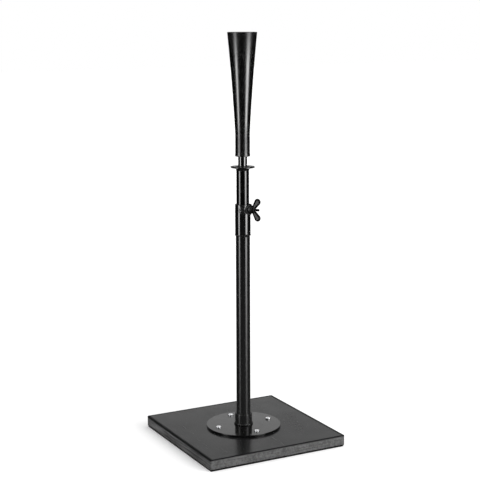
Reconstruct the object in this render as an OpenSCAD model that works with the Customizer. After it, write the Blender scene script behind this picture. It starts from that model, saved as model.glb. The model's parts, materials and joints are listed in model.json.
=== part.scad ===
// Batting tee on a square board, with a telescoping steel post and a rubber ball rest.
// Millimetres, +Z up. The origin is the centre of the footprint, on the floor.
// The post stands on the Z axis and the sides of the board lie along X and Y.

/* [Base board] */
// Side of the square board
board_side = 368; // [300:1:450]
// Thickness of the board
board_t = 26; // [18:0.5:40]
// Radius of the board's upright corners
board_corner_r = 4; // [3:0.5:20]
// Thickness of the part of a foot pad that shows under the board
pad_proud = 2.5; // [1:0.5:6]
// Diameter of a foot pad
pad_d = 38; // [20:1:60]

/* [Mounting flange] */
// Diameter of the round steel plate
plate_d = 186; // [150:1:260]
// Thickness of the round steel plate
plate_t = 5; // [3:0.5:10]
// Circle on which the flange bolts lie
bolt_circle_d = 140; // [90:1:146]
// Number of flange bolts
bolt_count = 4; // [3:1:8]
// Shank diameter of a flange bolt
bolt_d = 6; // [5:0.5:8]
// Head diameter of a flange bolt
bolt_head_d = 13; // [10:0.5:16]
// Outside diameter of the socket that holds the lower tube
socket_d = 43; // [38:0.5:60]
// Height of the socket above the plate
socket_h = 28.5; // [15:1:60]

/* [Lower post] */
// Outside diameter of the lower tube
lower_d = 35; // [34.5:0.1:35.5]
// Wall of the lower tube
lower_wall = 1.5; // [1.4:0.05:1.55]
// Length of the lower tube
lower_len = 552; // [460:1:700]

/* [Locking collar] */
// Outside diameter of the collar
collar_d = 38.1; // [37.6:0.1:42]
// Length of the collar
collar_len = 76; // [60:1:120]
// Depth of the lip that closes the top of the collar around the upper tube
collar_lip = 6; // [4:0.5:10]

/* [Clamp screw] */
// Direction of the screw around the post, from +X towards +Y
screw_azimuth = -57; // [-180:1:180]
// Distance of the screw below the top of the collar
screw_drop = 12.5; // [12.5:0.5:30]
// Shank diameter of the screw
stud_d = 6; // [5:0.5:8]
// Distance from the post's axis to the outer end of the screw
stud_reach = 44.8; // [38:0.1:60]
// Pitch of the screw's thread, which sets its travel for each turn
stud_pitch = 1; // [0.8:0.05:1.25]
// Diameter of the round boss on the collar
boss_d = 20.5; // [16:0.5:22]
// Distance from the post's axis to the outer face of the boss
boss_reach = 25; // [23:0.5:26]
// Distance between the outer ends of the two wings
wing_span = 56; // [40:1:70]
// Distance from the post's axis to the outer ends of the wings
wing_reach = 49; // [44:0.5:60]

/* [Upper post] */
// Outside diameter of the upper tube
upper_d = 31.2; // [30.8:0.1:31.4]
// Wall of the upper tube
upper_wall = 1.5; // [1.2:0.1:2]
// Length of the upper tube
upper_len = 381; // [250:1:450]
// Height of the upper tube's top above the top of the collar
exposed_len = 89; // [20:1:150]
// Diameter of the disc that closes the top of the upper tube
cap_d = 59; // [45:1:80]
// Thickness of that disc
cap_t = 2.6; // [2:0.1:5]
// Outside diameter of the neck tube
neck_d = 22; // [20:0.1:24]
// Wall of the neck tube
neck_wall = 2; // [1:0.1:3]

/* [Ball rest] */
// Length of the rubber cone
cone_len = 296; // [220:1:340]
// Length of the cone's straight sleeve, below its taper
sleeve_len = 54; // [30:1:80]
// Outside diameter of the sleeve
sleeve_d = 35.4; // [32:0.2:40]
// Outside diameter of the rim at the top of the cone
rim_d = 71.6; // [60:0.5:90]
// Part of the taper that comes from the widening curve near the rim
flare_share = 0.3; // [0:0.05:0.5]
// Wall of the hollow part of the cone
cone_wall = 6; // [4:0.5:8]
// Diameter of the opening that the ball sits in
seat_d = 26; // [20:0.5:36]
// Length of the neck tube that shows between disc and cone
neck_show = 25; // [15:0.5:60]

/* [Hidden] */
$fn = 96;
fit = 0.05;                    // radial clearance of a running fit
hole_slack = 0.3;              // radial clearance of a bolt in a plain hole
board_top = pad_proud + board_t;
plate_top = board_top + plate_t;
lower_top = plate_top + lower_len;
lower_bore_r = lower_d / 2 - lower_wall;
collar_top = lower_top + collar_lip;
collar_bottom = collar_top - collar_len;
screw_z = collar_top - screw_drop;
cap_z = collar_top + exposed_len;
cap_top = cap_z + cap_t;
upper_bottom = cap_z - upper_len;
upper_bore_r = upper_d / 2 - upper_wall;
spigot_len = 31;               // depth of the disc's spigot in the upper tube
cone_bottom = cap_top + neck_show;
cone_top = cone_bottom + cone_len;
taper_bottom = cone_bottom + sleeve_len;
taper_len = cone_len - sleeve_len;
neck_bottom = cap_z - spigot_len;
neck_top = taper_bottom + 36;
plug_head_t = 3;
cavity_bottom = neck_top + plug_head_t + 1;
seat_dish = 1;                 // fall of the cone's top face from rim to opening
bush_flange_t = 6;             // part of the guide bush below the upper tube
bush_stem_len = 20;            // part of the guide bush inside the upper tube
nut_barrel_d = 8;
nut_barrel_len = 10;
nut_flange_d = 18;
nut_flange_t = 1.4;
nut_recess = 2;
bolt_head_h = 3.2;
thrust_d = 9;                  // diameter of the thrust pad on the tip of the screw
thrust_t = 1.8;
thrust_face = upper_d / 2 + fit;
thrust_recess_d = thrust_d + 0.6;
journal_d = 4;                 // tip of the screw, which turns in the thrust pad
journal_len = 1.2;
boss_spigot_d = 13;            // part of the boss that fills the hole in the collar
boss_inner = lower_d / 2 + 0.1;
thread_start = boss_inner + 2.6;
hub_gap = 0.8;                 // gap between boss and wing hub with the screw tight
hub_d = 17;
hub_tip_d = 12.6;
hub_h = 7.6;
wing_t = 4.4;
wing_tip_r = 6.6;
wing_root_r = 3.8;
weld_leg = 4.2;
bead_w = 2.8;                  // width of the bead round the boss
bead_t = 1.5;                  // thickness of that bead

// Radius of the cone at a share s of its taper, 0 at the sleeve and 1 at the rim
function taper_r(s) =
    (sleeve_d + (rim_d - sleeve_d) * ((1 - flare_share) * s + flare_share * s * s)) / 2;

// Points up the outside of the taper, offset inwards by t
function taper_points(from_s, to_s, steps, t) =
    [for (i = [0 : steps])
        let (s = from_s + (to_s - from_s) * i / steps)
        [taper_r(s) - t, taper_bottom + taper_len * s]];

// The same points from the top down
function flipped(points) = [for (i = [len(points) - 1 : -1 : 0]) points[i]];

// Plain ring standing on z
module ring(outer_r, inner_r, z, h) {
    translate([0, 0, z])
        difference() {
            cylinder(r = outer_r, h = h);
            translate([0, 0, -1])
                cylinder(r = inner_r, h = h + 2);
        }
}

// Solid of revolution from [radius, height] points
module turned(points) {
    rotate_extrude()
        polygon(points);
}

// Children placed at each flange bolt
module at_bolts() {
    for (i = [0 : bolt_count - 1])
        rotate([0, 0, 360 * i / bolt_count])
            translate([bolt_circle_d / 2, 0, 0])
                children();
}

// Children placed at each corner pad of the board
module at_corners(inset) {
    for (sx = [-1, 1])
        for (sy = [-1, 1])
            translate([sx * (board_side / 2 - inset), sy * (board_side / 2 - inset), 0])
                children();
}

// Children with their own +Z turned to point out along the clamp screw,
// their origin on the post's axis and their own X pointing straight down
module along_screw() {
    translate([0, 0, screw_z])
        rotate([0, 0, screw_azimuth])
            rotate([0, 90, 0])
                children();
}

// ---- Base ----

module base_board() {
    side = board_side;
    inner = side - 2 * board_corner_r;
    color([0.09, 0.09, 0.095])
        difference() {
            translate([0, 0, pad_proud])
                union() {
                    translate([-side / 2, -inner / 2, 0])
                        cube([side, inner, board_t]);
                    translate([-inner / 2, -side / 2, 0])
                        cube([inner, side, board_t]);
                    at_corners(board_corner_r)
                        cylinder(r = board_corner_r, h = board_t);
                }
            at_bolts()
                translate([0, 0, pad_proud - 1]) {
                    cylinder(d = bolt_d + 2 * hole_slack, h = board_t + 2);
                    cylinder(d = nut_barrel_d + 0.1, h = 1 + nut_recess + nut_barrel_len);
                    cylinder(d = nut_flange_d + 1, h = 1 + nut_recess);
                }
        }
}

module foot_pads() {
    color([0.05, 0.05, 0.05])
        at_corners(36)
            cylinder(d = pad_d, h = pad_proud);
}

module flange_plate() {
    color([0.1, 0.1, 0.105])
        difference() {
            translate([0, 0, board_top])
                cylinder(d = plate_d, h = plate_t);
            at_bolts()
                translate([0, 0, board_top - 1])
                    cylinder(d = bolt_d + 2 * hole_slack, h = plate_t + 2);
        }
}

// Pan head with a cross recess, on a plain shank
module flange_bolt() {
    shank_end = pad_proud + 0.6;
    recess_w = 1.3;
    recess_l = 6;
    difference() {
        union() {
            translate([0, 0, shank_end])
                cylinder(d = bolt_d, h = plate_top - shank_end);
            turned([
                [0, plate_top],
                [bolt_head_d / 2, plate_top],
                [bolt_head_d / 2, plate_top + bolt_head_h * 0.4],
                [bolt_head_d / 2 * 0.86, plate_top + bolt_head_h * 0.8],
                [bolt_head_d / 2 * 0.55, plate_top + bolt_head_h],
                [0, plate_top + bolt_head_h]
            ]);
        }
        for (a = [0, 90])
            translate([0, 0, plate_top + bolt_head_h])
                rotate([0, 0, a])
                    cube([recess_l, recess_w, 3.6], center = true);
    }
}

module flange_bolts() {
    color([0.78, 0.79, 0.8])
        at_bolts()
            flange_bolt();
}

module tee_nuts() {
    seat = pad_proud + nut_recess;
    color([0.72, 0.73, 0.75])
        at_bolts() {
            ring(nut_flange_d / 2, bolt_d / 2 + 0.02, seat - nut_flange_t, nut_flange_t);
            ring(nut_barrel_d / 2, bolt_d / 2 + 0.02, seat, nut_barrel_len - 1);
        }
}

module post_socket() {
    color([0.06, 0.06, 0.06])
        ring(socket_d / 2, lower_d / 2 + 0.03, plate_top, socket_h);
}

module socket_weld() {
    r = socket_d / 2;
    color([0.08, 0.08, 0.08])
        turned([
            [r, plate_top],
            [r + weld_leg, plate_top],
            [r + weld_leg * 0.92, plate_top + weld_leg * 0.35],
            [r + weld_leg * 0.62, plate_top + weld_leg * 0.72],
            [r + weld_leg * 0.25, plate_top + weld_leg * 0.95],
            [r, plate_top + weld_leg]
        ]);
}

// ---- Lower post and collar ----

module lower_tube() {
    color([0.05, 0.05, 0.05])
        difference() {
            ring(lower_d / 2, lower_bore_r, plate_top, lower_len);
            along_screw()
                translate([0, 0, lower_bore_r - 4])
                    cylinder(d = thrust_recess_d, h = 8);
        }
}

module locking_collar() {
    r = collar_d / 2;
    tube_r = lower_d / 2 + 0.03;
    chamfer = 1.6;
    color([0.05, 0.05, 0.05])
        difference() {
            turned([
                [tube_r, collar_bottom],
                [r, collar_bottom],
                [r, collar_top - chamfer * 1.6],
                [r - chamfer, collar_top],
                [upper_d / 2 + fit, collar_top],
                [upper_d / 2 + fit, lower_top],
                [tube_r, lower_top]
            ]);
            along_screw()
                translate([0, 0, 10])
                    cylinder(d = boss_spigot_d + 0.06, h = 20);
        }
}

module collar_weld() {
    r = lower_d / 2 + 0.03;
    bead = 1.5;
    color([0.06, 0.06, 0.06])
        turned([
            [r, collar_bottom - bead],
            [r + bead * 0.7, collar_bottom - bead * 0.85],
            [r + bead, collar_bottom - bead * 0.35],
            [r + bead, collar_bottom],
            [r, collar_bottom]
        ]);
}

module clamp_boss() {
    color([0.05, 0.05, 0.05])
        difference() {
            union() {
                difference() {
                    along_screw()
                        translate([0, 0, 10])
                            cylinder(d = boss_d, h = boss_reach - 10);
                    translate([0, 0, screw_z - boss_d])
                        cylinder(d = collar_d, h = 2 * boss_d);
                }
                along_screw()
                    translate([0, 0, boss_inner])
                        cylinder(d = boss_spigot_d, h = collar_d / 2 - boss_inner + 1);
            }
            along_screw()
                cylinder(r = stud_d / 2 + 0.02, h = 60);
            along_screw()
                cylinder(d = thrust_recess_d, h = thread_start);
        }
}

// Bead that follows the saddle where the boss meets the collar
module boss_weld() {
    color([0.06, 0.06, 0.06])
        difference() {
            intersection() {
                along_screw()
                    translate([0, 0, 6])
                        cylinder(r = boss_d / 2 + bead_w, h = 16);
                translate([0, 0, screw_z - boss_d])
                    cylinder(r = collar_d / 2 + bead_t, h = 2 * boss_d);
            }
            translate([0, 0, screw_z - 2 * boss_d])
                cylinder(d = collar_d, h = 4 * boss_d);
            along_screw()
                cylinder(d = boss_d, h = 60);
        }
}

// ---- Clamp screw ----

module thrust_pad() {
    color([0.85, 0.84, 0.8])
        along_screw()
            difference() {
                translate([0, 0, thrust_face])
                    cylinder(d = thrust_d, h = thrust_t);
                translate([0, 0, thrust_face + thrust_t - journal_len - fit])
                    cylinder(d = journal_d + 2 * fit, h = 5);
            }
}

module clamp_stud() {
    journal_start = thrust_face + thrust_t - journal_len;
    shank_start = thrust_face + thrust_t + fit;
    color([0.07, 0.07, 0.07])
        along_screw()
            union() {
                translate([0, 0, journal_start])
                    cylinder(d = journal_d, h = shank_start - journal_start);
                translate([0, 0, shank_start])
                    cylinder(d = stud_d, h = stud_reach - shank_start - 0.6);
                translate([0, 0, stud_reach - 0.6])
                    cylinder(d1 = stud_d, d2 = stud_d - 1.2, h = 0.6);
            }
}

// One wing, a rounded blade that leans outwards from the hub
module wing(side) {
    root = boss_reach + hub_gap + hub_h * 0.45;
    tip = wing_reach - wing_tip_r;
    hull() {
        translate([side * 5, -wing_t / 2, root])
            rotate([-90, 0, 0])
                cylinder(r = wing_root_r, h = wing_t, $fn = 32);
        translate([side * (wing_span / 2 - wing_tip_r), -wing_t / 2 + 0.6, tip])
            rotate([-90, 0, 0])
                cylinder(r = wing_tip_r, h = wing_t - 1.2, $fn = 48);
    }
}

module wing_handle() {
    hub_start = boss_reach + hub_gap;
    color([0.06, 0.06, 0.06])
        along_screw()
            difference() {
                union() {
                    translate([0, 0, hub_start])
                        cylinder(d1 = hub_d, d2 = hub_tip_d, h = hub_h);
                    wing(1);
                    wing(-1);
                }
                translate([0, 0, hub_start - 1])
                    cylinder(r = stud_d / 2 + 0.02, h = 60);
            }
}

// ---- Upper post ----

module guide_bush() {
    bore_r = upper_bore_r - 4;
    color([0.16, 0.16, 0.16])
        union() {
            ring(lower_bore_r - fit, bore_r, upper_bottom - bush_flange_t - fit, bush_flange_t);
            ring(upper_bore_r - fit, bore_r, upper_bottom - 2 * fit, bush_stem_len);
        }
}

module upper_tube() {
    color([0.05, 0.05, 0.05])
        ring(upper_d / 2, upper_bore_r, upper_bottom, upper_len);
}

module cap_disc() {
    rim_r = cap_d / 2;
    bore_r = neck_d / 2 + 0.02;
    dish = 0.7;
    color([0.07, 0.07, 0.07])
        turned([
            [bore_r, neck_bottom],
            [upper_bore_r - 0.02, neck_bottom],
            [upper_bore_r - 0.02, cap_z],
            [rim_r - 1, cap_z],
            [rim_r, cap_z + 1],
            [rim_r, cap_top - 0.6],
            [rim_r - 0.8, cap_top],
            [rim_r - 4, cap_top],
            [rim_r - 10, cap_top - dish],
            [bore_r, cap_top - dish]
        ]);
}

// Fillet between the top of the upper tube and the underside of the disc
module cap_weld() {
    r = upper_d / 2;
    leg = 5;
    steps = 6;
    arc = [for (i = [0 : steps])
        let (a = 90 * i / steps)
        [r + 0.01 + leg * (1 - cos(a)), cap_z - leg * (1 - sin(a))]];
    color([0.06, 0.06, 0.06])
        turned(concat(arc, [[r + 0.01, cap_z]]));
}

module neck_tube() {
    color([0.07, 0.07, 0.07])
        ring(neck_d / 2, neck_d / 2 - neck_wall, neck_bottom, neck_top - neck_bottom);
}

module neck_plug() {
    head_r = neck_d / 2;
    stem_r = neck_d / 2 - neck_wall - 0.02;
    stem_len = 12;
    color([0.1, 0.1, 0.1])
        turned([
            [0, neck_top - stem_len],
            [stem_r - 0.8, neck_top - stem_len],
            [stem_r, neck_top - stem_len + 0.8],
            [stem_r, neck_top],
            [head_r, neck_top],
            [head_r, neck_top + plug_head_t - 1],
            [head_r - 1, neck_top + plug_head_t],
            [0, neck_top + plug_head_t]
        ]);
}

// ---- Ball rest ----

module ball_rest() {
    steps = 14;
    lip = 1.2;
    foot_flare = 0.7;
    grip_r = neck_d / 2 + 0.02;
    foot_r = sleeve_d / 2 + foot_flare;
    cavity_from = (cavity_bottom - taper_bottom) / taper_len;
    cavity_to = 1 - cone_wall / taper_len;
    rim_r = rim_d / 2;
    outside = [for (p = taper_points(0, 1 - lip / taper_len, steps, 0)) p];
    inside = flipped(taper_points(cavity_from, cavity_to, steps, cone_wall));
    color([0.06, 0.06, 0.06])
        turned(concat(
            [
                [grip_r, cone_bottom],
                [foot_r - 0.5, cone_bottom],
                [foot_r, cone_bottom + 1],
                [sleeve_d / 2, cone_bottom + 10]
            ],
            outside,
            [
                [rim_r - lip, cone_top],
                [rim_r - 5, cone_top],
                [seat_d / 2, cone_top - seat_dish],
                [seat_d / 2, cone_top - cone_wall]
            ],
            inside,
            [[grip_r, cavity_bottom]]
        ));
}

base_board();
foot_pads();
flange_plate();
flange_bolts();
tee_nuts();
post_socket();
socket_weld();
lower_tube();
locking_collar();
collar_weld();
clamp_boss();
boss_weld();
thrust_pad();
clamp_stud();
wing_handle();
guide_bush();
upper_tube();
cap_disc();
cap_weld();
neck_tube();
neck_plug();
ball_rest();
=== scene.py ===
import json
import math

import bmesh
import bpy
from mathutils import Matrix, Vector, noise

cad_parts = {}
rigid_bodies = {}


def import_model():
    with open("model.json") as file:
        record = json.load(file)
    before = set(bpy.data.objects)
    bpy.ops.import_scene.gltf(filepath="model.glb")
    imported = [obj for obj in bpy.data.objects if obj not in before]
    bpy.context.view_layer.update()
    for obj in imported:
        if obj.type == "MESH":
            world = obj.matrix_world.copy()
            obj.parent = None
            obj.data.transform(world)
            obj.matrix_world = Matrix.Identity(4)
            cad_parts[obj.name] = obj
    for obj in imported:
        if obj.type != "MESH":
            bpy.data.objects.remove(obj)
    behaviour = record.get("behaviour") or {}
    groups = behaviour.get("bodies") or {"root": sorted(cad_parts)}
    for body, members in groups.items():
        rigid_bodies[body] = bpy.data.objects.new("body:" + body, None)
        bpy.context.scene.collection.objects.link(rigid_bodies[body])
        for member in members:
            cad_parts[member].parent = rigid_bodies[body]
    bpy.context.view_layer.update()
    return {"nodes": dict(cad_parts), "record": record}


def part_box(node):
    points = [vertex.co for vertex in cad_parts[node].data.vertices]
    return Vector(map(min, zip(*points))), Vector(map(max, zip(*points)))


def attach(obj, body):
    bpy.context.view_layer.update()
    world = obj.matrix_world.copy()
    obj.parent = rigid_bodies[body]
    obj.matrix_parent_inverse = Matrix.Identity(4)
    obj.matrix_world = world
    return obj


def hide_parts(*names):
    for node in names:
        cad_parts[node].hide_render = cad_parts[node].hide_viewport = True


for leftover in list(bpy.data.objects):
    bpy.data.objects.remove(leftover)

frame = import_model()

# Lengths are in millimetres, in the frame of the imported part. MM turns them into metres.
MM = 0.001
SMOOTH_ANGLE = math.radians(38)

# Camera, with its place in metres, and light
VIEW_TURN = math.radians(-27.74)      # turn of the view about the post
VIEW_DISTANCE = 2.9346
VIEW_HEIGHT = 1.0413
VIEW_SIDESTEP = -0.0071
VIEW_PITCH = math.radians(10.41)
VIEW_ROLL = math.radians(-0.234)
VIEW_LENS = 91.455
TO_CAMERA = -math.pi / 2 + VIEW_TURN  # angle of the camera in plan
LEFT_STRIP = math.radians(58)         # angle of each strip light from the camera, round the post
RIGHT_STRIP = math.radians(55)
GLOW_TURN = math.radians(-75)         # side towards which the floor is painted with more glow; no lamp stands there

# Details that the frame does not hold
BOARD_EDGE_R = 2.0
BOARD_CORNER_R = 4.0
PLATE_EDGE_R = 0.6
BOLT_HEAD_R = 6.5
BOLT_HEAD_H = 3.2
BOLT_HOLE_R = 3.3
BOSS_R = 10.25
SPIGOT_R = 6.5                        # the boss's plain end, in a hole through the collar
SCREW_HOLE_R = 3.02
DISC_DISH = 0.7                       # how far the disc's top is dished
CORE = 12                             # a distance from the axis inside the two tubes' bores
SEAM_ANGLE = math.radians(80)         # sharp edges of welds start here


# ---------------------------------------------------------------- frame sizes

def low(node):
    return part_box(node)[0] / MM


def high(node):
    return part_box(node)[1] / MM


def outer_r(node):
    """Outside radius of a node turned about the post."""
    return high(node).x


def joint(name):
    return next(j for j in frame["record"]["behaviour"]["joints"] if j["name"] == name)


SCREW_AXIS = Vector(joint("clamp_turn")["axis"]).normalized()
SCREW_Z = joint("clamp_turn")["pos_m"][2] / MM
UP = Vector((0, 0, 1))
SCREW_FRAME = Matrix((SCREW_AXIS.cross(UP), UP, SCREW_AXIS)).transposed().to_4x4()
SCREW_FRAME.translation = Vector((0, 0, SCREW_Z))
PLATE_TOP = high("flange_plate").z
COLLAR_R = outer_r("locking_collar")
LOWER_R = outer_r("lower_tube")
UPPER_R = outer_r("upper_tube")
NECK_R = outer_r("neck_tube")


def reach(node):
    """Nearest and furthest distance of a node's points from the post, along the clamp screw."""
    along = [v.co.dot(SCREW_AXIS) / MM for v in frame["nodes"][node].data.vertices]
    return min(along), max(along)


# ---------------------------------------------------------------- mesh tools

def mesh_object(name, bm, shader=None, smooth=SMOOTH_ANGLE):
    """Object from a bmesh in millimetres, shaded smooth except over sharp edges."""
    bmesh.ops.recalc_face_normals(bm, faces=bm.faces)
    bmesh.ops.scale(bm, vec=(MM, MM, MM), verts=bm.verts)
    mesh = bpy.data.meshes.new(name)
    bm.to_mesh(mesh)
    bm.free()
    obj = bpy.data.objects.new(name, mesh)
    bpy.context.scene.collection.objects.link(obj)
    finish_mesh(obj, smooth)
    if shader:
        obj.data.materials.append(shader)
    return obj


def finish_mesh(obj, smooth=SMOOTH_ANGLE):
    obj.data.shade_smooth()
    obj.data.set_sharp_from_angle(angle=smooth)


def bake(obj):
    """Applies the object's modifiers to its mesh."""
    bpy.context.view_layer.update()
    graph = bpy.context.evaluated_depsgraph_get()
    mesh = bpy.data.meshes.new_from_object(obj.evaluated_get(graph))
    old = obj.data
    obj.modifiers.clear()
    obj.data = mesh
    bpy.data.meshes.remove(old)


def cut(obj, *cutters, mode="DIFFERENCE"):
    """Takes the cutters away from obj, then deletes them."""
    for cutter in cutters:
        step = obj.modifiers.new("cut", "BOOLEAN")
        step.operation = mode
        step.solver = "EXACT"
        step.object = cutter
    bake(obj)
    for cutter in cutters:
        bpy.data.objects.remove(cutter)
    finish_mesh(obj)


def round_corners(corners, steps=5, hold=0.5):
    """Closed outline from (x, y, radius) corners, each turned into an arc.

    A point is held just outside each arc so that the flat parts between arcs shade flat.
    """
    spots = [Vector(corner[:2]) for corner in corners]
    count = len(corners)
    bends = []
    for i, (*_, radius) in enumerate(corners):
        back = (spots[i - 1] - spots[i]).normalized()
        ahead = (spots[(i + 1) % count] - spots[i]).normalized()
        half = back.angle(ahead) / 2
        tangent = radius / math.tan(half) if radius else 0
        bends.append((back, ahead, half, tangent))
    points = []
    for i, (*_, radius) in enumerate(corners):
        here = spots[i]
        if radius == 0:
            points.append(here)
            continue
        back, ahead, half, tangent = bends[i]
        centre = here + (back + ahead).normalized() * radius / math.sin(half)
        first = here + back * tangent
        last = here + ahead * tangent
        free_before = (spots[i - 1] - here).length - tangent - bends[i - 1][3]
        free_after = (spots[(i + 1) % count] - here).length - tangent - bends[(i + 1) % count][3]
        if free_before > 0.1:
            points.append(first + back * min(hold, free_before / 4))
        sweep = math.pi - 2 * half
        for k in range(steps + 1):
            share = k / steps
            near = math.sin((1 - share) * sweep) / math.sin(sweep)
            far = math.sin(share * sweep) / math.sin(sweep)
            points.append(centre + (first - centre) * near + (last - centre) * far)
        if free_after > 0.1:
            points.append(last + ahead * min(hold, free_after / 4))
    return points


def circle(radius, count, z=0.0):
    """Points round a circle at height z."""
    for k in range(count):
        angle = 2 * math.pi * k / count
        yield Vector((radius * math.cos(angle), radius * math.sin(angle), z))


def turn(bm, outline, segments=128, place=Matrix()):
    """Turns a closed outline of (radius, height) points about the Z axis of place."""
    rings = []
    for radius, height in outline:
        if radius < 1e-6:
            rings.append([bm.verts.new(place @ Vector((0, 0, height)))] * segments)
        else:
            rings.append([bm.verts.new(place @ spot) for spot in circle(radius, segments, height)])
    for i, ring in enumerate(rings):
        other = rings[(i + 1) % len(rings)]
        for k in range(segments):
            n = (k + 1) % segments
            corner = list(dict.fromkeys([ring[k], ring[n], other[n], other[k]]))
            if len(corner) > 2:
                bm.faces.new(corner)


def turned(name, outline, shader=None, segments=128, place=Matrix()):
    bm = bmesh.new()
    turn(bm, outline, segments, place)
    return mesh_object(name, bm, shader)


def plain_rod(name, radius, start, end, place=Matrix(), segments=64):
    return turned(name, [(0, start), (radius, start), (radius, end), (0, end)],
                  None, segments, place)


def skin(bm, rings, closed_path=True):
    """Quads between rings of equal length, each ring closed."""
    count = len(rings) if closed_path else len(rings) - 1
    for i in range(count):
        ring = rings[i]
        other = rings[(i + 1) % len(rings)]
        for k in range(len(ring)):
            n = (k + 1) % len(ring)
            bm.faces.new((ring[k], ring[n], other[n], other[k]))


def solid(bm, rings):
    """Skin over a row of rings, with both ends closed."""
    skin(bm, rings, closed_path=False)
    bm.faces.new(rings[0])
    bm.faces.new(rings[-1])


def quarter_turn(steps):
    """Angles from 0 to a right angle."""
    return [math.pi / 2 * k / steps for k in range(steps + 1)]


def level_ring(radius, height):
    """Path for a bead round the post: its centre and its outward and upward directions."""
    def path(angle):
        out = Vector((math.cos(angle), math.sin(angle), 0))
        return out * radius + UP * height, out, UP

    return path


def weld_bead(name, shader, path, size, ripples, seed, tack=None, inside=0.0):
    """Bead along a closed path, thicker at the angle of a tack.

    path(angle) gives the bead's centre and its outward and sideways directions. No point of the
    bead is nearer to the post's axis than inside.
    """
    steps, around = 360, 14
    bm = bmesh.new()
    rings = []
    shift = Vector((seed * 7.3, seed * 3.1, seed * 5.7))
    for i in range(steps):
        angle = 2 * math.pi * i / steps
        centre, out, side = path(angle)
        ripple = abs(math.sin(ripples * angle / 2))
        wander = noise.noise(centre * 0.28 + shift)
        grow = size * (0.86 + 0.13 * ripple + 0.16 * wander)
        if tack is not None:
            grow *= 1 + 1.3 * max(0, math.cos(angle - tack)) ** 30
        ring = []
        for k in range(around):
            turn_by = 2 * math.pi * k / around
            rough = 1 + 0.06 * noise.noise(centre * 0.9 + shift + Vector((k, 0, 0)) * 0.4)
            spoke = out * math.cos(turn_by) + side * math.sin(turn_by)
            spot = centre + spoke * grow * rough
            away = math.hypot(spot.x, spot.y)
            if away < inside:
                spot.xy *= inside / away
            ring.append(bm.verts.new(spot))
        rings.append(ring)
    skin(bm, rings)
    return mesh_object(name, bm, shader, SEAM_ANGLE)


# ---------------------------------------------------------------- shader tools

class Nodes:
    """A node tree with short ways to add maths to it."""

    def __init__(self, tree):
        self.tree = tree

    def node(self, kind, **settings):
        made = self.tree.nodes.new(kind)
        for key, value in settings.items():
            setattr(made, key, value)
        return made

    def link(self, source, target):
        self.tree.links.new(source, target)

    def feed(self, value, socket):
        """Sets a socket to a number, or joins another node's output to it."""
        if isinstance(value, (int, float)):
            socket.default_value = value
        else:
            self.link(value, socket)

    def calc(self, first, second=0.0, operation="ADD"):
        made = self.node("ShaderNodeMath", operation=operation)
        self.feed(first, made.inputs[0])
        self.feed(second, made.inputs[1])
        return made.outputs[0]

    def times(self, first, second):
        return self.calc(first, second, "MULTIPLY")

    def spread(self, value, from_low, from_high, to_low, to_high, shape="LINEAR"):
        """Maps a value from one range to another, clamped."""
        mapping = self.node("ShaderNodeMapRange", interpolation_type=shape)
        self.link(value, mapping.inputs["Value"])
        for key, number in (("From Min", from_low), ("From Max", from_high),
                            ("To Min", to_low), ("To Max", to_high)):
            mapping.inputs[key].default_value = number
        return mapping.outputs["Result"]

    def parts(self, vector):
        """X, Y and Z of a vector."""
        split = self.node("ShaderNodeSeparateXYZ")
        self.link(vector, split.inputs[0])
        return split.outputs[0], split.outputs[1], split.outputs[2]


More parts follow.
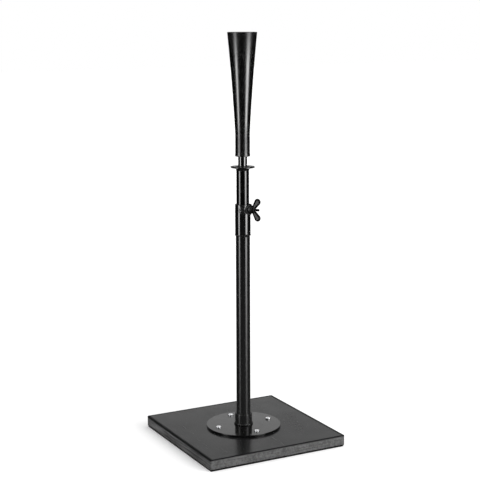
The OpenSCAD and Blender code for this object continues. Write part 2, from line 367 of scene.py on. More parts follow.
class Shader(Nodes):
    """Builds one material on object coordinates in millimetres."""

    def __init__(self, name):
        self.material = bpy.data.materials.new(name)
        self.material.use_nodes = True
        super().__init__(self.material.node_tree)
        self.surface = self.tree.nodes["Principled BSDF"]
        coordinates = self.node("ShaderNodeTexCoord")
        scale = self.node("ShaderNodeVectorMath", operation="SCALE")
        scale.inputs["Scale"].default_value = 1 / MM
        self.link(coordinates.outputs["Object"], scale.inputs[0])
        self.place = scale.outputs[0]

    def stretched(self, x=1.0, y=1.0, z=1.0):
        """Coordinates scaled along each axis."""
        product = self.node("ShaderNodeVectorMath", operation="MULTIPLY")
        self.link(self.place, product.inputs[0])
        product.inputs[1].default_value = (x, y, z)
        return product.outputs[0]

    def along(self, direction):
        """Distance from the origin along a direction."""
        product = self.node("ShaderNodeVectorMath", operation="DOT_PRODUCT")
        self.link(self.place, product.inputs[0])
        product.inputs[1].default_value = direction
        return product.outputs["Value"]

    def plan(self):
        """Distances from the post's axis along X and along Y, without sign."""
        x, y, _ = self.parts(self.place)
        return self.calc(x, 0, "ABSOLUTE"), self.calc(y, 0, "ABSOLUTE")

    def across(self):
        """Distance from the post's axis towards the nearest side of the board."""
        return self.calc(*self.plan(), "MAXIMUM")

    def x_sides(self):
        """1 in the quarters of the board that face along X, 0 in those that face along Y."""
        return self.spread(self.calc(*self.plan(), "SUBTRACT"), -1, 1, 0, 1)

    def height(self):
        return self.parts(self.place)[2]

    def facing(self):
        """0 where the surface faces the eye, 1 where it is seen edge-on."""
        return self.node("ShaderNodeLayerWeight").outputs["Facing"]

    def noise(self, scale, detail=3.0, roughness=0.5, place=None, distortion=0.0):
        texture = self.node("ShaderNodeTexNoise")
        self.link(place or self.place, texture.inputs["Vector"])
        texture.inputs["Scale"].default_value = scale
        texture.inputs["Detail"].default_value = detail
        texture.inputs["Roughness"].default_value = roughness
        texture.inputs["Distortion"].default_value = distortion
        return texture.outputs["Fac"]

    def mix(self, factor, first, second):
        """Colour between two greys or colours."""
        made = self.node("ShaderNodeMix", data_type="RGBA")
        self.link(factor, made.inputs["Factor"])
        for socket, value in ((made.inputs[6], first), (made.inputs[7], second)):
            if isinstance(value, tuple):
                socket.default_value = (*value, 1)
            else:
                self.link(value, socket)
        return made.outputs[2]

    def bump(self, height, distance, strength=1.0, below=None):
        made = self.node("ShaderNodeBump")
        made.inputs["Distance"].default_value = distance * MM
        made.inputs["Strength"].default_value = strength
        self.link(height, made.inputs["Height"])
        if below:
            self.link(below, made.inputs["Normal"])
        return made.outputs["Normal"]

    def specular(self, level):
        self.feed(level, self.surface.inputs["Specular IOR Level"])

    def finish(self, colour, roughness, normal, metallic=0.0, ior=1.5):
        self.link(colour, self.surface.inputs["Base Color"])
        self.link(roughness, self.surface.inputs["Roughness"])
        self.link(normal, self.surface.inputs["Normal"])
        self.surface.inputs["Metallic"].default_value = metallic
        self.surface.inputs["IOR"].default_value = ior
        return self.material


def grey(level, tint=0.0):
    """Neutral colour, a little cooler with a positive tint."""
    return (level * (1 - tint), level, level * (1 + tint))


# ---------------------------------------------------------------- materials

def gloss_paint(name, level, gloss, scuffs=0.0, ior=1.5, floor_glow_level=0.0, limb=0.08):
    """Black powder coat: orange peel, uneven gloss, lengthwise scuffs, and a painted glow that makes
    it lighter lower down.

    limb is the specular level left where the surface turns away from the eye.
    """
    s = Shader(name)
    cloud = s.noise(0.05, 4)
    peel = s.noise(0.55, 2)
    fine = s.noise(3.5, 2)
    streak = s.noise(1.0, 3, place=s.stretched(2.2, 2.2, 0.012))
    worn = s.spread(streak, 0.58, 0.74, 0.0, scuffs)
    colour = s.mix(s.spread(cloud, 0.35, 0.65, 0, 1), grey(level * 0.8), grey(level * 1.3))
    # Painted light: the coat is drawn lighter towards the bottom, standing in for glow from the
    # floor.
    floor_glow_share = s.spread(s.height(), 650, 100, 0, 1)
    colour = s.mix(floor_glow_share, colour, grey(max(level, floor_glow_level)))
    colour = s.mix(worn, colour, grey(level * 6))
    rough = s.calc(s.spread(cloud, 0.3, 0.7, gloss - 0.03, gloss + 0.05), s.times(worn, 0.35))
    normal = s.bump(fine, 0.004, 0.6, s.bump(peel, 0.012, 0.5))
    s.specular(s.spread(s.facing(), 0.4, 0.7, 0.5, limb))
    return s.finish(colour, rough, normal, ior=ior)


def board_top_paint():
    """Satin black film over board: faint grain, fine scratches and a painted shade band along the
    border.
    """
    s = Shader("board_top_paint")
    cloud = s.noise(0.012, 5, 0.6)
    grain = s.noise(1.0, 4, 0.6, place=s.stretched(0.02, 0.55, 0.55))
    stipple = s.noise(1.6, 2)
    scratch = s.noise(1.0, 2, place=s.stretched(0.9, 0.018, 0.5), distortion=1.5)
    marks = s.spread(scratch, 0.7, 0.76, 0.0, 0.4)
    colour = s.mix(s.spread(cloud, 0.35, 0.65, 0, 1), grey(0.006, 0.02), grey(0.01, 0.02))
    colour = s.mix(marks, colour, grey(0.013))
    rough = s.calc(s.spread(cloud, 0.3, 0.7, 0.2, 0.28), s.times(marks, 0.12))
    normal = s.bump(stipple, 0.01, 0.5, s.bump(grain, 0.03, 0.25))
    # Painted shade: the specular level falls almost to nothing in a band inside the outer edge,
    # drawing a dark line along it; the band is wider at the back than at the front.
    x, y, _ = s.parts(s.place)
    front = s.times(s.spread(s.x_sides(), 0, 1, 1, 0), s.spread(y, -10, 10, 1, 0))
    rear = s.spread(s.calc(x, y), -10, 10, 0, 1)
    shift = s.calc(s.spread(front, 0, 1, 0, -3.5), s.spread(rear, 0, 1, 0, 2))
    half = high("base_board").x
    s.specular(s.spread(s.calc(s.across(), shift), half - 8, half - 5, 0.5, 0.03))
    return s.finish(colour, rough, normal, ior=1.28)


def board_edge_paint():
    """Black paint on a sawn edge: streaky on the X sides, mottled on the Y sides, darker along the
    top and with painted shade along the bottom.
    """
    s = Shader("board_edge_paint")
    layers = s.noise(1.0, 3, 0.55, place=s.stretched(0.012, 0.012, 0.3))
    mottle = s.noise(0.16, 4, 0.6, distortion=0.8)
    pores = s.noise(1.3, 3, 0.7, place=s.stretched(0.5, 0.5, 1.6))
    x_sides = s.x_sides()
    streaky = s.spread(x_sides, 0, 1, 0.35, 0.7)
    tone = s.calc(s.times(s.calc(layers, mottle, "SUBTRACT"), streaky), mottle)
    colour = s.mix(s.spread(tone, 0.4, 0.6, 0, 1), s.mix(x_sides, grey(0.04), grey(0.024)),
                   s.mix(x_sides, grey(0.1), grey(0.125)))
    colour = s.mix(s.spread(pores, 0.62, 0.72, 0, 0.6), colour, grey(0.015))
    # Darker, less shiny bands at the top and bottom of the sides: the bottom one is painted shade
    # along the lower edge, the top one a plain darker band under the top edge.
    bottom, top = low("base_board").z, high("base_board").z
    wander = s.calc(s.height(), s.times(mottle, 2.4))
    wander_top = s.calc(wander, s.spread(x_sides, 0, 1, -1.5, 0))
    top_band_and_bottom_shade = s.calc(s.spread(wander_top, top - 3.6, top - 2.2, 0, 1),
                   s.spread(wander, bottom + 3.2, bottom + 4.2, 1, 0))
    colour = s.mix(top_band_and_bottom_shade, colour, grey(0.011))
    rough = s.spread(mottle, 0.3, 0.7, 0.5, 0.72)
    normal = s.bump(pores, 0.12, 0.5, s.bump(layers, 0.25, 0.6))
    s.specular(s.spread(top_band_and_bottom_shade, 0, 1, 0.35, 0.15))
    return s.finish(colour, rough, normal, ior=1.4)


def rubber(name, level, dullness, ior, detail=0.6):
    """Moulded rubber: fine skin texture, faint cloudy bloom, duller at the cone's two ends."""
    s = Shader(name)
    bloom = s.noise(0.035, 4, 0.6, place=s.stretched(1, 1, 0.35))
    skin_texture = s.noise(1.8, 3, 0.6)
    swirl = s.noise(0.3, 3, 0.5)
    colour = s.mix(s.spread(bloom, 0.3, 0.7, 0, 1), grey(level * 0.85), grey(level * 1.2))
    rough = s.calc(s.spread(bloom, 0.3, 0.7, dullness - 0.015, dullness + 0.02),
                   s.spread(skin_texture, 0.3, 0.7, -0.01, 0.01))
    height = s.height()
    rim, sleeve = high("ball_rest").z - 4, low("ball_rest").z + 42
    handled = s.calc(s.spread(height, rim - 75, rim, 0, 0.08),
                     s.spread(height, sleeve + 40, sleeve, 0, 0.06))
    rough = s.calc(rough, handled)
    shine = s.times(s.spread(height, rim, rim - 75, 0.45, 1),
                    s.spread(height, sleeve + 5, sleeve + 40, 0.5, 1))
    s.specular(s.times(shine, 0.8))
    normal = s.bump(skin_texture, 0.016, detail, s.bump(swirl, 0.02, 0.4))
    return s.finish(colour, rough, normal, ior=ior)


def zinc():
    """Bright zinc plate with a slight blue cast and turning marks."""
    s = Shader("zinc_plate")
    cloud = s.noise(0.4, 3)
    marks = s.noise(6.0, 2, place=s.stretched(1, 1, 0.2))
    colour = s.mix(s.spread(cloud, 0.35, 0.65, 0, 1), (0.86, 0.87, 0.9), (0.97, 0.97, 0.97))
    rough = s.spread(cloud, 0.3, 0.7, 0.08, 0.15)
    return s.finish(colour, rough, s.bump(marks, 0.006, 0.5), metallic=1.0)


def cast_black():
    """Black coat on a small casting: pebbled, with painted shade on the wings' rims and edges."""
    s = Shader("cast_black")
    pebble = s.noise(0.9, 3, 0.6)
    cloud = s.noise(0.15, 3)
    colour = s.mix(s.spread(cloud, 0.35, 0.65, 0, 1), grey(0.002), grey(0.004))
    rough = s.spread(cloud, 0.3, 0.7, 0.28, 0.38)
    # Distance from the middle plane of the wings, whose rims rise above 1.7
    apart = s.calc(s.along(SCREW_AXIS.cross(UP)), 0, "ABSOLUTE")
    rim = s.times(s.spread(apart, 1.7, 1.85, 0, 1), s.spread(apart, 2.25, 2.4, 1, 0))
    edge = s.calc(rim, s.spread(apart, 1.3, 1.5, 1, 0), "MAXIMUM")
    # Painted shade: the specular level drops at grazing angles and almost to nothing on the wings'
    # rims and edges, so they stay black.
    s.specular(s.times(s.spread(s.facing(), 0.25, 0.75, 0.34, 0.05), s.spread(edge, 0, 1, 1, 0.02)))
    return s.finish(colour, rough, s.bump(pebble, 0.05, 0.5), ior=1.4)


def nylon(name, level):
    s = Shader(name)
    cloud = s.noise(0.3, 3)
    fine = s.noise(2.5, 2)
    colour = s.mix(s.spread(cloud, 0.3, 0.7, 0, 1), grey(level * 0.9), grey(level * 1.1))
    return s.finish(colour, s.spread(cloud, 0.3, 0.7, 0.42, 0.55), s.bump(fine, 0.015, 0.5))


TUBE_PAINT = gloss_paint("tube_paint", 0.0022, 0.15, floor_glow_level=0.011)
COLLAR_PAINT = gloss_paint("collar_paint", 0.0022, 0.12, ior=1.62, floor_glow_level=0.011)
SLIDE_PAINT = gloss_paint("sliding_tube_paint", 0.0018, 0.13, scuffs=0.2)
WELD_PAINT = gloss_paint("weld_paint", 0.006, 0.26)
BOSS_WELD_PAINT = gloss_paint("boss_weld_paint", 0.006, 0.42, ior=1.34)
PLATE_PAINT = gloss_paint("plate_paint", 0.003, 0.13, ior=1.44, limb=0.5)
BOARD_TOP = board_top_paint()
BOARD_EDGE = board_edge_paint()
CONE_RUBBER = rubber("cone_rubber", 0.002, 0.24, 1.6, 0.9)
PAD_RUBBER = rubber("pad_rubber", 0.01, 0.6, 1.5)
ZINC = zinc()
CAST_BLACK = cast_black()
BLACK_NYLON = nylon("black_nylon", 0.05)
WHITE_NYLON = nylon("white_nylon", 0.7)


# ---------------------------------------------------------------- base

def rounded_square(half, corner_r, count=120, corner_steps=10):
    """Points round a square with rounded corners, evenly spaced along its sides."""
    points = []
    straight = half - corner_r
    for quarter in range(4):
        angle = quarter * math.pi / 2
        along = Vector((math.cos(angle), math.sin(angle)))
        out = Vector((along.y, -along.x))
        for k in range(count):
            points.append(out * half + along * (-straight + 2 * straight * k / count))
        for k in range(corner_steps):
            bend = math.pi / 2 * k / corner_steps
            arc = out * math.cos(bend) + along * math.sin(bend)
            points.append(out * straight + along * straight + arc * corner_r)
    return points


def board():
    """Painted board with eased edges, slightly uneven sawn sides and recesses for the tee nuts."""
    bottom, top = low("base_board").z, high("base_board").z
    half = high("base_board").x
    edge = BOARD_EDGE_R
    levels = [(edge + 1.5, bottom)]
    levels += [(edge * (1 - math.sin(a)), bottom + edge * (1 - math.cos(a)))
               for a in quarter_turn(4)]
    rows = 9
    levels += [(0, bottom + edge + (top - bottom - 2 * edge) * k / rows) for k in range(1, rows)]
    levels += [(edge * (1 - math.cos(a)), top - edge * (1 - math.sin(a)))
               for a in quarter_turn(4)]
    levels += [(edge + 1.5, top)]
    bm = bmesh.new()
    rings = []
    for inset, z in levels:
        ring = []
        for point in rounded_square(half - inset, BOARD_CORNER_R - inset * 0.6):
            dent = 0.22 * noise.noise(Vector((point.x * 0.05, point.y * 0.05, z * 0.6)))
            dent = -abs(dent) if inset == 0 else 0
            spot = point * (1 + dent / half)
            ring.append(bm.verts.new((spot.x, spot.y, z)))
        rings.append(ring)
    solid(bm, rings)
    piece = mesh_object("board", bm)
    piece.data.materials.append(BOARD_TOP)
    piece.data.materials.append(BOARD_EDGE)
    for face in piece.data.polygons:
        upright = abs(face.normal.z) < 0.5
        face.material_index = 1 if upright else 0
    nut_r, nut_recess = 9.5, 2
    cutters = []
    for x, y in bolt_places():
        place = Matrix.Translation((x, y, 0))
        cutters.append(plain_rod("cutter", BOLT_HOLE_R, bottom - 1, top + 1, place, 32))
        cutters.append(plain_rod("cutter", nut_r, bottom - 1, bottom + nut_recess, place, 48))
    cut(piece, *cutters)
    return piece


def bolt_places():
    """The four bolt centres, from the frame's bolt heads."""
    ring_r = high("flange_bolts").x - BOLT_HEAD_R
    return [(ring_r * math.cos(a), ring_r * math.sin(a))
            for a in (math.pi / 2 * k for k in range(4))]


def foot_pads():
    """Four grooved rubber pads in one piece."""
    radius, height = 19.0, high("foot_pads").z
    centre = high("foot_pads").x - radius
    depth = 0.7
    corners = [(0, 0, 0)]
    for groove in (5, 11):
        corners += [(groove, 0, 0), (groove + 0.6, depth, 0), (groove + 1.6, depth, 0),
                    (groove + 2.2, 0, 0)]
    corners += [(radius, 0, 0.7), (radius, height, 0.2), (0, height, 0)]
    bm = bmesh.new()
    for sx in (-1, 1):
        for sy in (-1, 1):
            place = Matrix.Translation((sx * centre, sy * centre, 0))
            turn(bm, round_corners(corners), 72, place)
    return mesh_object("corner_pads", bm, PAD_RUBBER)


def flange_plate():
    radius, bottom = outer_r("flange_plate"), low("flange_plate").z
    edge = PLATE_EDGE_R
    outline = round_corners([(0, bottom, 0), (radius, bottom, edge),
                             (radius, PLATE_TOP, edge), (0, PLATE_TOP, 0)])
    piece = turned("mounting_plate", outline, PLATE_PAINT, 256)
    cut(piece, *[plain_rod("cutter", BOLT_HOLE_R, bottom - 1, PLATE_TOP + 1,
                           Matrix.Translation((x, y, 0)), 32) for x, y in bolt_places()])
    return piece


def flange_bolts():
    """Pan-head bolts with a tapered cross recess, each turned to its own angle."""
    head_r = BOLT_HEAD_R
    top = PLATE_TOP + BOLT_HEAD_H
    end = low("flange_bolts").z
    outline = round_corners([(0, end, 0), (3, end, 0.5), (3, PLATE_TOP, 0), (head_r, PLATE_TOP, 0.3),
                             (head_r, top - 0.7, 0.6), (head_r - 1.0, top, 0.9), (0, top, 0)])
    bm = bmesh.new()
    turn(bm, outline, 64)
    pattern = mesh_object("bolt_pattern", bm)
    blades = []
    for quarter in (0, 1):
        spin = Matrix.Rotation(quarter * math.pi / 2, 3, "Z")
        blade = bmesh.new()
        rows = []
        for length, width, z in ((1.0, 0.35, top - 1.9), (2.7, 0.55, top + 0.5)):
            corners = [(-length, -width), (length, -width), (length, width), (-length, width)]
            rows.append([blade.verts.new(spin @ Vector((x, y, z))) for x, y in corners])
        solid(blade, rows)
        blades.append(mesh_object("blade", blade))
    cut(pattern, *blades)
    angles = (0.35, 1.1, 0.75, 0.1)
    joined = bmesh.new()
    for (x, y), angle in zip(bolt_places(), angles):
        copy = pattern.data.copy()
        copy.transform(Matrix.Scale(1 / MM, 4))
        copy.transform(Matrix.Translation((x, y, 0)) @ Matrix.Rotation(angle, 4, "Z"))
        joined.from_mesh(copy)
        bpy.data.meshes.remove(copy)
    bpy.data.objects.remove(pattern)
    return mesh_object("pan_head_bolts", joined, ZINC)


def post_socket():
    inner, outer = LOWER_R + 0.05, outer_r("post_socket")
    bottom, top = low("post_socket").z, high("post_socket").z
    outline = round_corners([(inner, bottom, 0), (outer, bottom, 0), (outer, top, 1.3),
                             (inner, top, 0.5)])
    return turned("tube_socket", outline, TUBE_PAINT)


def socket_bead():
    path = level_ring(outer_r("post_socket") + 0.2, PLATE_TOP + 2.0)
    return weld_bead("socket_bead", WELD_PAINT, path, 2.1, 36, 1)


# ---------------------------------------------------------------- collar and clamp

def collar():
    """Sleeve over the top of the lower tube, closed to a lip around the upper tube."""
    tube_r = LOWER_R + 0.03
    lip_r = UPPER_R + 0.06
    bottom, top = low("locking_collar").z, high("locking_collar").z
    lip_from = high("lower_tube").z
    outline = round_corners([(tube_r, bottom, 0), (COLLAR_R, bottom, 0.6), (COLLAR_R, top, 2.0),
                             (lip_r, top, 0.5), (lip_r, lip_from, 0), (tube_r, lip_from, 0)])
    piece = turned("clamp_collar", outline, COLLAR_PAINT)
    cut(piece, plain_rod("cutter", SPIGOT_R + 0.1, CORE, COLLAR_R + 3, SCREW_FRAME))
    return piece


def collar_bead():
    """Bead under the collar, with one thick tack towards the camera."""
    path = level_ring(LOWER_R + 0.5, low("locking_collar").z - 0.1)
    tack = TO_CAMERA + math.radians(28)
    return weld_bead("collar_bead", BOSS_WELD_PAINT, path, 1.6, 40, 2, tack, LOWER_R - 0.6)


def boss():
    """Round boss on a saddle that fits the collar, bored for the screw and its thrust pad."""
    inner, outer = LOWER_R + 0.1, reach("clamp_boss")[1]
    pad_bore_r = 4.83
    outline = round_corners([(0, CORE, 0), (BOSS_R, CORE, 0), (BOSS_R, outer, 1.1), (0, outer, 0)])
    body = turned("clamp_boss_body", outline, BOSS_WELD_PAINT, 96, SCREW_FRAME)
    cut(body, plain_rod("cutter", COLLAR_R - 0.02, SCREW_Z - 20, SCREW_Z + 20, segments=256))
    spigot = plain_rod("spigot", SPIGOT_R, inner, COLLAR_R + 1, SCREW_FRAME)
    cut(body, spigot, mode="UNION")
    cut(body, plain_rod("cutter", SCREW_HOLE_R, CORE - 2, outer + 10, SCREW_FRAME, 48),
        plain_rod("cutter", pad_bore_r, CORE - 2, inner + 2.6, SCREW_FRAME, 96))
    return body


def boss_bead():
    def path(angle):
        sideways, upward = BOSS_R * math.cos(angle), BOSS_R * math.sin(angle)
        outward = math.sqrt(COLLAR_R ** 2 - sideways ** 2)
        spot = SCREW_FRAME @ Vector((sideways, upward, outward))
        out = (SCREW_FRAME.to_3x3() @ Vector((sideways, upward, 0))).normalized()
        side = Vector((spot.x, spot.y, 0)).normalized()
        return spot + out * (0.9 + 0.7 * math.cos(angle) ** 2) + side * 0.2, out, side

    return weld_bead("boss_bead", BOSS_WELD_PAINT, path, 2.9, 17, 3)


def weld_spread():
    """Low lumpy run of weld metal across the collar beside the boss."""
    centre = TO_CAMERA + math.radians(3)
    half_turn, half_height = math.radians(37), 13.0
    around, rows, sunk = 96, 22, COLLAR_R - 0.6
    bm = bmesh.new()

    def spot(radius, share, angle):
        edge = 1 + 0.09 * noise.noise(Vector((math.cos(angle), math.sin(angle), 0)) * 1.9)
        turn_by = centre + half_turn * share * edge * math.cos(angle)
        height = SCREW_Z + half_height * min(share * edge * math.sin(angle), 0.93)
        return Vector((radius * math.cos(turn_by), radius * math.sin(turn_by), height))

    rings = [[bm.verts.new(spot(sunk, 1, 2 * math.pi * k / around)) for k in range(around)]]
    for j in range(rows, 0, -1):
        share = j / rows
        ring = []
        for k in range(around):
            base = spot(COLLAR_R, share, 2 * math.pi * k / around)
            lump = noise.noise(base * 0.24) * 0.6 + noise.noise(base * 0.6) * 0.3
            rise = (1 - share ** 2) ** 1.2 * (0.75 + lump) - 0.04
            out = Vector((base.x, base.y, 0)).normalized()
            ring.append(bm.verts.new(base + out * rise))
        rings.append(ring)
    skin(bm, rings, closed_path=False)
    bm.faces.new(rings[0])
    middle = bm.verts.new(sum((v.co for v in rings[-1]), Vector()) / around)
    for k in range(around):
        bm.faces.new([rings[-1][k], rings[-1][(k + 1) % around], middle])
    return mesh_object("weld_spread", bm, WELD_PAINT, SEAM_ANGLE)


def capsule(root, root_r, tip, tip_r, inset, count=72):
    """Outline of a rounded blade: the outer tangent shape of two circles, pulled in by inset."""
    span = (tip - root).length
    along = (tip - root) / span
    across = Vector((-along.y, along.x))
    lean = math.asin((tip_r - root_r) / span)
    points = []
    half = count // 2
    for centre, radius, start, sweep in ((tip, tip_r, -math.pi / 2 - lean, math.pi + 2 * lean),
                                         (root, root_r, math.pi / 2 + lean, math.pi - 2 * lean)):
        for k in range(half):
            angle = start + sweep * k / (half - 1)
            spoke = along * math.cos(angle) + across * math.sin(angle)
            points.append(centre + spoke * (radius - inset))
    return points


def wing_blade(bm, side, hub_start, tip_reach, half_span):
    """One wing in the screw's frame: a blade with a raised rim round a shallow recess."""
    tip_r, root_r = 8.2, 5.2
    root = Vector((side * 5.0, hub_start + root_r))
    tip = Vector((side * (half_span - tip_r), tip_reach - tip_r))
    # Inset from the blade's outline and height over its middle plane, from the edge to the recess
    face = [(0.0, 0.0), (0.0, 0.5), (0.25, 1.1), (0.8, 1.7), (1.6, 2.1), (3.0, 2.2), (3.6, 2.05),
            (4.1, 1.6)]
    rings = []
    for inset, z in [(inset, -z) for inset, z in reversed(face[1:])] + face:
        points = capsule(root, root_r, tip, tip_r, inset)
        rings.append([bm.verts.new(SCREW_FRAME @ Vector((z, p.x, p.y))) for p in points])
    solid(bm, rings)


def wing_handle():
    """Cast wing handle: hub and two blades fused, softened and bored for the screw."""
    start, end = reach("wing_handle")
    half_span = (high("wing_handle").z - low("wing_handle").z) / 2
    hub_end = start + 7.6
    bm = bmesh.new()
    turn(bm, round_corners([(0, start, 0), (8.5, start, 0.8), (8.2, start + 2.4, 0.8),
                            (6.3, hub_end, 1.2), (0, hub_end, 0)]), 96, SCREW_FRAME)
    wing_blade(bm, 1, start, end, half_span)
    wing_blade(bm, -1, start, end, half_span)
    piece = mesh_object("wing_casting", bm, CAST_BLACK)
    fuse = piece.modifiers.new("fuse", "REMESH")
    fuse.mode = "VOXEL"
    fuse.voxel_size = 0.32 * MM
    soften = piece.modifiers.new("soften", "SMOOTH")
    soften.factor = 0.5
    soften.iterations = 6
    bake(piece)
    piece.data.materials.clear()
    piece.data.materials.append(CAST_BLACK)
    cut(piece, plain_rod("cutter", 3.05, start - 1, end, SCREW_FRAME, 48))
    return piece


def clamp_stud():
    """Screw with a rolled thread and a plain tip that turns in the thrust pad."""
    start, end = reach("clamp_stud")
    radius, tip_r, pitch, depth = 3.0, 2.0, 1.0, 0.5
    journal = start + 1.25
    around, per_turn = 48, 10
    rows = int((end - journal) / pitch * per_turn)
    bm = bmesh.new()
    rings = []
    for z in (start, journal):
        rings.append([bm.verts.new(SCREW_FRAME @ spot) for spot in circle(tip_r, around, z)])
    for i in range(rows + 1):
        z = journal + (end - journal) * i / rows
        chamfer = min(1.0, 0.35 + (end - z) / 0.9, 0.35 + (z - journal) / 0.9)
        ring = []
        for k in range(around):
            angle = 2 * math.pi * k / around
            phase = (z / pitch - k / around) % 1.0
            groove = min(1.0, max(0.0, abs(2 * phase - 1) * 1.5 - 0.25))
            r = min(radius - depth * groove, radius - depth + depth * 1.4 * chamfer)
            r = min(r, radius * (0.8 + 0.2 * chamfer))
            spot = Vector((r * math.cos(angle), r * math.sin(angle), z))
            ring.append(bm.verts.new(SCREW_FRAME @ spot))
        rings.append(ring)
    solid(bm, rings)
    return mesh_object("threaded_screw", bm, CAST_BLACK, math.radians(50))


# ---------------------------------------------------------------- upper post

def cap_disc():
    """Disc with a rolled rim and a slight dish, on a spigot inside the upper tube."""
    rim = outer_r("cap_disc")
    under, top = high("upper_tube").z, high("cap_disc").z
    spigot_r = UPPER_R - 1.55
    bore_r = NECK_R + 0.02
    bottom = low("cap_disc").z
    outline = round_corners([(bore_r, bottom, 0), (spigot_r, bottom, 0.4), (spigot_r, under, 0),
                             (rim, under, 0.7), (rim, top, 0.5), (rim - 4, top, 2.0),
                             (rim - 10, top - DISC_DISH, 4.0), (bore_r, top - DISC_DISH, 0)])
    return turned("post_cap", outline, PLATE_PAINT, 160)


def cap_fillet():
    """Smooth brazed fillet under the disc."""
    under = high("upper_tube").z
    leg = 7.0
    inner = UPPER_R + 0.01
    arc = [(inner + leg * (1 - math.cos(a)), under - leg * (1 - math.sin(a)))
           for a in quarter_turn(12)]
    return turned("cap_fillet", arc + [(inner, under)], WELD_PAINT)


def neck_fillet():
    """Small bead where the neck tube leaves the disc."""
    path = level_ring(NECK_R + 0.3, high("cap_disc").z - DISC_DISH)
    return weld_bead("neck_bead", WELD_PAINT, path, 1.9, 26, 4)


# ---------------------------------------------------------------- ball rest

def ball_rest():
    """Hollow rubber cone: straight sleeve, widening taper, soft rim and an opening for the ball."""
    bottom, top = low("ball_rest").z, high("ball_rest").z
    rim_r, sleeve_r = 35.8, 17.7
    sleeve_len, wall, flare = 54.0, 6.0, 0.3
    grip_r, seat_r = NECK_R + 0.02, 13.0
    taper_from = bottom + sleeve_len
    taper_len = top - taper_from
    cavity_from = high("neck_plug").z + 1
    steps = 48

    def taper(z):
        share = (z - taper_from) / taper_len
        return sleeve_r + (rim_r - sleeve_r) * ((1 - flare) * share + flare * share * share)

    def side(start, end, inset, count):
        return [(taper(z) - inset, z) for z in
                (start + (end - start) * k / count for k in range(count + 1))]

    foot = round_corners([(grip_r, bottom, 0.8), (sleeve_r + 0.7, bottom, 1.0),
                          (sleeve_r, bottom + 10, 30), (sleeve_r, bottom + 30, 0)])[:-1]
    outside = side(taper_from, top - 2.4, 0, steps)
    rim = round_corners([(taper(top - 2.4), top - 2.4, 0), (rim_r, top, 1.5),
                         (rim_r - 5, top - 0.02, 3), (seat_r, top - 1, 1.4),
                         (seat_r, top - wall, 1.0), (taper(top - wall) - wall, top - wall, 3),
                         (taper(top - 14) - wall, top - 14, 0)])[1:-1]
    inside = side(top - 14, cavity_from, wall, 24)
    outline = foot + outside + rim + inside + [(grip_r, cavity_from)]
    return turned("rubber_cone", outline, CONE_RUBBER, 192)


# ---------------------------------------------------------------- put together

def put(piece, body, node):
    """piece rides on body and stands for the CAD node, which is hidden."""
    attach(piece, body)
    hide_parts(node)


def add(piece, body):
    """piece rides on body and stands for no node."""
    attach(piece, body)


def repaint(node, shader):
    """Gives a shown CAD node its material."""
    obj = frame["nodes"][node]
    obj.data.materials.clear()
    obj.data.materials.append(shader)


put(board(), "base", "base_board")
put(foot_pads(), "base", "foot_pads")
put(flange_plate(), "base", "flange_plate")
put(flange_bolts(), "base", "flange_bolts")
put(post_socket(), "base", "post_socket")
put(socket_bead(), "base", "socket_weld")
put(collar(), "base", "locking_collar")
put(collar_bead(), "base", "collar_weld")
put(boss(), "base", "clamp_boss")
put(boss_bead(), "base", "boss_weld")
add(weld_spread(), "base")
put(wing_handle(), "clamp_screw", "wing_handle")
put(clamp_stud(), "clamp_screw", "clamp_stud")
put(cap_disc(), "upper_post", "cap_disc")
put(cap_fillet(), "upper_post", "cap_weld")
put(ball_rest(), "upper_post", "ball_rest")
add(neck_fillet(), "upper_post")

repaint("lower_tube", TUBE_PAINT)
repaint("upper_tube", SLIDE_PAINT)
repaint("neck_tube", COLLAR_PAINT)
repaint("tee_nuts", ZINC)
repaint("guide_bush", BLACK_NYLON)
repaint("neck_plug", BLACK_NYLON)
repaint("thrust_pad", WHITE_NYLON)


# ---------------------------------------------------------------- studio

def camera():
    data = bpy.data.cameras.new("camera")
    data.lens = VIEW_LENS
    data.sensor_width = 36
    data.clip_end = 100
    obj = bpy.data.objects.new("camera", data)
    bpy.context.scene.collection.objects.link(obj)
    around = Matrix.Rotation(VIEW_TURN, 4, "Z")
    spot = around @ Vector((VIEW_SIDESTEP, -VIEW_DISTANCE, VIEW_HEIGHT))
    tilt = Matrix.Rotation(math.pi / 2 - VIEW_PITCH, 4, "X")
    roll = Matrix.Rotation(VIEW_ROLL, 4, "Z")
    obj.matrix_world = Matrix.Translation(spot) @ around @ tilt @ roll
    bpy.context.scene.camera = obj


def floor():
    """White floor with a painted black shadow under the board and a painted glow round it.
    Mirror-like surfaces do not see it.
    """
    bm = bmesh.new()
    half = 20 / MM
    corners = ((-1, -1), (1, -1), (1, 1), (-1, 1))
    bm.faces.new([bm.verts.new((x * half, y * half, 0)) for x, y in corners])
    s = Shader("floor_white")
    cloud = s.noise(0.002, 2)
    under = high("base_board").x - 1
    # Painted shadow: the floor under the board is nearly black.
    clear = s.spread(s.across(), under - 1, under, 0, 1)
    colour = s.mix(clear, grey(0.02), s.mix(cloud, grey(0.93), grey(0.95)))
    s.finish(colour, s.spread(cloud, 0, 1, 0.8, 0.9), s.bump(s.noise(0.5), 0.01))
    s.specular(0)
    # Painted light: the floor glows, more with distance from the board and more towards one side,
    # except under the board.
    away = s.node("ShaderNodeVectorMath", operation="LENGTH")
    s.link(s.place, away.inputs[0])
    ahead = s.along((math.cos(GLOW_TURN), math.sin(GLOW_TURN), 0))
    painted_floor_glow = s.calc(s.spread(away.outputs["Value"], 200, 1000, 0.07, 0.28),
                   s.spread(ahead, 60, 150, 0, 0.08))
    s.surface.inputs["Emission Color"].default_value = (1, 1, 1, 1)
    s.link(s.times(painted_floor_glow, clear), s.surface.inputs["Emission Strength"])
    obj = mesh_object("floor", bm, s.material)
    obj.visible_glossy = False


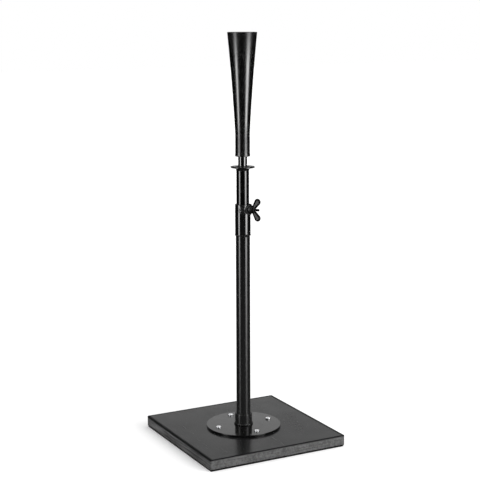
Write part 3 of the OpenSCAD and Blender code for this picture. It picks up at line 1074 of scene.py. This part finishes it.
def studio_world():
    """White for the camera, an even soft light for matt surfaces, strip lights for glossy ones."""
    world = bpy.data.worlds.new("studio")
    bpy.context.scene.world = world
    world.use_nodes = True
    world.cycles.sampling_method = "NONE"
    world.node_tree.nodes.clear()
    w = Nodes(world.node_tree)
    degrees = math.radians
    x, y, rise = w.parts(w.node("ShaderNodeTexCoord").outputs["Generated"])
    level = w.calc(w.calc(1.0, w.times(rise, rise), "SUBTRACT"), operation="SQRT")

    def ramp(value, start, end, low_to=0.0, high_to=1.0):
        return w.spread(value, start, end, low_to, high_to, "SMOOTHSTEP")

    def climb(start, end, low_to=0.0, high_to=1.0):
        """Ramp over the height of the direction above the horizon, in degrees."""
        return ramp(rise, math.sin(degrees(start)), math.sin(degrees(end)), low_to, high_to)

    def facing(angle):
        """Cosine of the level angle between the direction and an angle in plan."""
        along = w.calc(w.times(x, math.cos(angle)), w.times(y, math.sin(angle)))
        return w.calc(along, level, "DIVIDE")

    def strip(angle, width, soft, strength):
        """Upright strip light that fades out below the horizon and dims above it."""
        near, far = math.cos(degrees(width - soft) / 2), math.cos(degrees(width + soft) / 2)
        fade = w.spread(rise, math.sin(degrees(-21)), math.sin(degrees(-6.5)), 0, 1)
        fade = w.times(w.calc(fade, 1.9, "POWER"), climb(6, 20, 1.0, 0.35))
        return w.times(w.times(ramp(facing(angle), far, near), fade), strength)

    left = strip(TO_CAMERA - LEFT_STRIP, 17, 9, 12)
    right = strip(TO_CAMERA + RIGHT_STRIP, 25, 10, 13)
    rear = w.times(strip(TO_CAMERA + math.pi, 24, 10, 8), climb(-5, -1, 1.0, 0.0))
    backdrop = w.times(climb(7, 14), climb(14, 30, 1.0, 0.2))
    behind = ramp(facing(TO_CAMERA + math.pi), 0.5, 0.9, 0.35, 1.12)
    strips = w.calc(w.calc(left, right), rear)
    mirrored = w.calc(strips, w.times(backdrop, behind))

    def background(strength):
        made = w.node("ShaderNodeBackground")
        made.inputs["Color"].default_value = (1, 1, 1, 1)
        w.feed(strength, made.inputs["Strength"])
        return made.outputs[0]

    def choose(flag, no, yes):
        made = w.node("ShaderNodeMixShader")
        for source, socket in zip((flag, no, yes), made.inputs):
            w.link(source, socket)
        return made.outputs[0]

    path = w.node("ShaderNodeLightPath")
    soft = choose(path.outputs["Is Glossy Ray"], background(0.92), background(mirrored))
    shown = choose(path.outputs["Is Camera Ray"], soft, background(1.0))
    w.link(shown, w.node("ShaderNodeOutputWorld").inputs["Surface"])


def soft_box(name, angle, height, distance, size, watts):
    """Large soft light for matt surfaces only, aimed low on the post."""
    data = bpy.data.lights.new(name, "AREA")
    data.shape = "RECTANGLE"
    data.size = size
    data.size_y = size * 1.5
    data.energy = watts
    obj = bpy.data.objects.new(name, data)
    bpy.context.scene.collection.objects.link(obj)
    spot = Vector((distance * math.cos(angle), distance * math.sin(angle), height))
    aim = Vector((0, 0, 0.3)) - spot
    obj.matrix_world = Matrix.Translation(spot) @ aim.to_track_quat("-Z", "Y").to_matrix().to_4x4()
    obj.visible_glossy = False


camera()
floor()
studio_world()
soft_box("right_box", TO_CAMERA + math.radians(60), 1.0, 2.2, 1.6, 39)
bpy.context.scene.view_settings.view_transform = "Standard"
